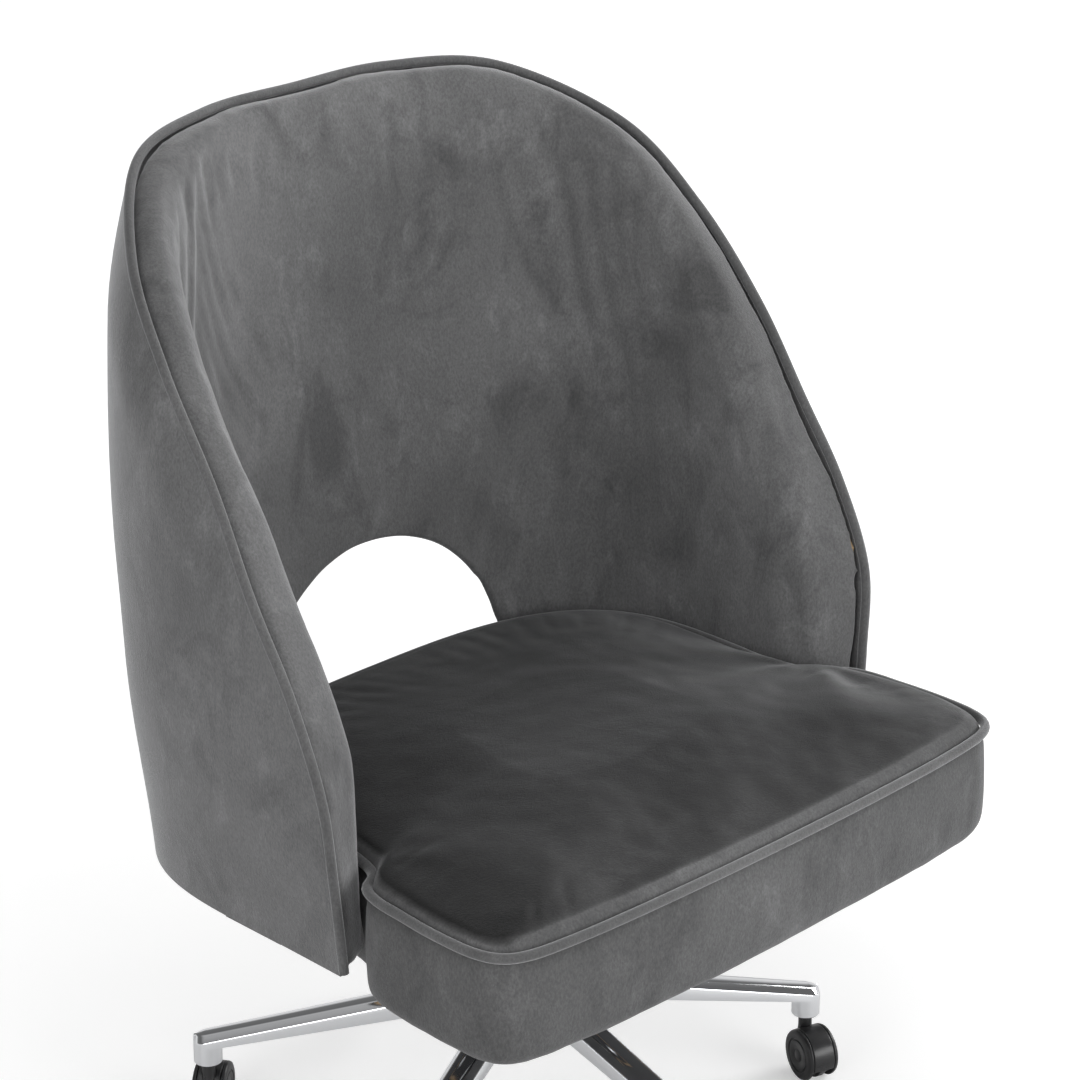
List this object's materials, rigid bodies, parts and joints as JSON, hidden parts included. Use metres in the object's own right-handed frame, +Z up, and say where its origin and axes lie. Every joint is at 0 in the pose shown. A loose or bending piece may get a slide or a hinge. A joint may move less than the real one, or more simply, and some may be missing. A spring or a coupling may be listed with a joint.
{
  "type": "swivel office chair",
  "caption": "Upholstered swivel office chair with a wrap-around back, an arched opening, a gas lift and a chromed star base on twin-wheel casters.",
  "frame": {"origin": "on the floor, under the middle of the chair's bounding box; the column's centre line is 9 mm behind it", "axes": "+Z up; the sitter faces -Y and the back is at +Y; +X is the sitter's left"},
  "size_m": [0.677, 0.6134, 0.9585],
  "materials": {
    "polished_chrome": "polished",
    "plain_steel": "satin",
    "spring_steel": "satin",
    "black_steel": "satin",
    "bearing_brass": "satin",
    "black_plastic": "satin",
    "caster_plastic": "satin",
    "wheel_plastic": "satin",
    "grey_velvet": "matte",
    "moulded_plywood": "matte",
    "black_lining": "matte"
  },
  "bodies": {
    "base": {"star_base": "polished_chrome", "column_outer_tube": "black_steel", "column_guide_bush": "black_plastic", "lower_bearing_washer": "plain_steel"},
    "swivel": {"piston_rod": "polished_chrome", "thrust_bearing": "bearing_brass", "upper_bearing_washer": "plain_steel", "retaining_clip": "plain_steel"},
    "lift": {"gas_cylinder": "polished_chrome", "mechanism_housing": "black_steel", "tension_spring": "spring_steel", "lever_pin": "plain_steel"},
    "release": {"release_button": "plain_steel"},
    "lever": {"height_lever": "plain_steel", "lever_grip": "black_plastic"},
    "tilt": {"mechanism_top_plate": "black_steel", "tilt_pivot_pin": "plain_steel", "tension_bolt": "plain_steel", "plate_bolt_1": "plain_steel", "plate_bolt_2": "plain_steel", "plate_bolt_3": "plain_steel", "plate_bolt_4": "plain_steel", "seat_board": "moulded_plywood", "seat_cushion": "grey_velvet", "seat_piping": "grey_velvet", "dust_cover": "black_lining", "outer_back_cover": "grey_velvet", "shell_frame": "moulded_plywood", "inner_back_pad": "grey_velvet", "back_piping": "grey_velvet", "left_shell_strap": "black_steel", "right_shell_strap": "black_steel", "rear_shell_strap": "black_steel"},
    "knob": {"tension_knob": "black_plastic"},
    "caster_1": {"caster_1_hood": "caster_plastic", "caster_1_stem": "plain_steel", "caster_1_axle": "plain_steel"},
    "caster_1_outer_wheel": {"caster_1_outer_wheel": "wheel_plastic"},
    "caster_1_inner_wheel": {"caster_1_inner_wheel": "wheel_plastic"},
    "caster_2": {"caster_2_hood": "caster_plastic", "caster_2_stem": "plain_steel", "caster_2_axle": "plain_steel"},
    "caster_2_outer_wheel": {"caster_2_outer_wheel": "wheel_plastic"},
    "caster_2_inner_wheel": {"caster_2_inner_wheel": "wheel_plastic"},
    "caster_3": {"caster_3_hood": "caster_plastic", "caster_3_stem": "plain_steel", "caster_3_axle": "plain_steel"},
    "caster_3_outer_wheel": {"caster_3_outer_wheel": "wheel_plastic"},
    "caster_3_inner_wheel": {"caster_3_inner_wheel": "wheel_plastic"},
    "caster_4": {"caster_4_hood": "caster_plastic", "caster_4_stem": "plain_steel", "caster_4_axle": "plain_steel"},
    "caster_4_outer_wheel": {"caster_4_outer_wheel": "wheel_plastic"},
    "caster_4_inner_wheel": {"caster_4_inner_wheel": "wheel_plastic"},
    "caster_5": {"caster_5_hood": "caster_plastic", "caster_5_stem": "plain_steel", "caster_5_axle": "plain_steel"},
    "caster_5_outer_wheel": {"caster_5_outer_wheel": "wheel_plastic"},
    "caster_5_inner_wheel": {"caster_5_inner_wheel": "wheel_plastic"}
  },
  "joints": [
    {"name": "seat_swivel", "type": "hinge", "parent": "base", "child": "swivel", "pos_m": [0, 0.0093, 0.2], "axis": [0, 0, 1], "continuous": true},
    {"name": "seat_lift", "type": "slide", "parent": "swivel", "child": "lift", "axis": [0, 0, 1], "range_m": [0, 0.08]},
    {"name": "lever_lift", "type": "hinge", "parent": "lift", "child": "lever", "pos_m": [-0.04, 0.0093, 0.306], "axis": [0, 1, 0], "range_deg": [0, 6], "stiffness_Nm_per_rad": 0.8, "springref_deg": -8.59},
    {"name": "release_press", "type": "slide", "parent": "lift", "child": "release", "axis": [0, 0, -1], "range_m": [0, 0.0048]},
    {"name": "seat_tilt", "type": "hinge", "parent": "lift", "child": "tilt", "pos_m": [0, -0.0237, 0.298], "axis": [-1, 0, 0], "range_deg": [0, 12], "stiffness_Nm_per_rad": 150, "springref_deg": -14.32, "deforming": ["tension_spring"]},
    {"name": "knob_turn", "type": "hinge", "parent": "tilt", "child": "knob", "pos_m": [0, -0.0757, 0.24], "axis": [0, 0, 1], "range_deg": [0, 720]},
    {"name": "caster_1_swivel", "type": "hinge", "parent": "base", "child": "caster_1", "pos_m": [0, -0.2907, 0.06], "axis": [0, 0, 1], "continuous": true},
    {"name": "caster_1_outer_roll", "type": "hinge", "parent": "caster_1", "child": "caster_1_outer_wheel", "pos_m": [-0.014, -0.2907, 0.02469], "axis": [0, -1, 0], "continuous": true},
    {"name": "caster_1_inner_roll", "type": "hinge", "parent": "caster_1", "child": "caster_1_inner_wheel", "pos_m": [-0.014, -0.2907, 0.02469], "axis": [0, -1, 0], "continuous": true},
    {"name": "caster_2_swivel", "type": "hinge", "parent": "base", "child": "caster_2", "pos_m": [0.28532, -0.08341, 0.06], "axis": [0, 0, 1], "continuous": true},
    {"name": "caster_2_outer_roll", "type": "hinge", "parent": "caster_2", "child": "caster_2_outer_wheel", "pos_m": [0.28099, -0.09672, 0.02469], "axis": [0.9511, -0.309, 0], "continuous": true},
    {"name": "caster_2_inner_roll", "type": "hinge", "parent": "caster_2", "child": "caster_2_inner_wheel", "pos_m": [0.28099, -0.09672, 0.02469], "axis": [0.9511, -0.309, 0], "continuous": true},
    {"name": "caster_3_swivel", "type": "hinge", "parent": "base", "child": "caster_3", "pos_m": [0.17634, 0.252, 0.06], "axis": [0, 0, 1], "continuous": true},
    {"name": "caster_3_outer_roll", "type": "hinge", "parent": "caster_3", "child": "caster_3_outer_wheel", "pos_m": [0.18766, 0.24378, 0.02469], "axis": [0.5878, 0.809, 0], "continuous": true},
    {"name": "caster_3_inner_roll", "type": "hinge", "parent": "caster_3", "child": "caster_3_inner_wheel", "pos_m": [0.18766, 0.24378, 0.02469], "axis": [0.5878, 0.809, 0], "continuous": true},
    {"name": "caster_4_swivel", "type": "hinge", "parent": "base", "child": "caster_4", "pos_m": [-0.17634, 0.252, 0.06], "axis": [0, 0, 1], "continuous": true},
    {"name": "caster_4_outer_roll", "type": "hinge", "parent": "caster_4", "child": "caster_4_outer_wheel", "pos_m": [-0.16501, 0.26023, 0.02469], "axis": [-0.5878, 0.809, 0], "continuous": true},
    {"name": "caster_4_inner_roll", "type": "hinge", "parent": "caster_4", "child": "caster_4_inner_wheel", "pos_m": [-0.16501, 0.26023, 0.02469], "axis": [-0.5878, 0.809, 0], "continuous": true},
    {"name": "caster_5_swivel", "type": "hinge", "parent": "base", "child": "caster_5", "pos_m": [-0.28532, -0.08341, 0.06], "axis": [0, 0, 1], "continuous": true},
    {"name": "caster_5_outer_roll", "type": "hinge", "parent": "caster_5", "child": "caster_5_outer_wheel", "pos_m": [-0.28964, -0.07009, 0.02469], "axis": [-0.9511, -0.309, 0], "continuous": true},
    {"name": "caster_5_inner_roll", "type": "hinge", "parent": "caster_5", "child": "caster_5_inner_wheel", "pos_m": [-0.28964, -0.07009, 0.02469], "axis": [-0.9511, -0.309, 0], "continuous": true}
  ],
  "couplings": [
    {"joint": "release_press", "follows": "lever_lift", "m_per_rad": 0.0455}
  ]
}
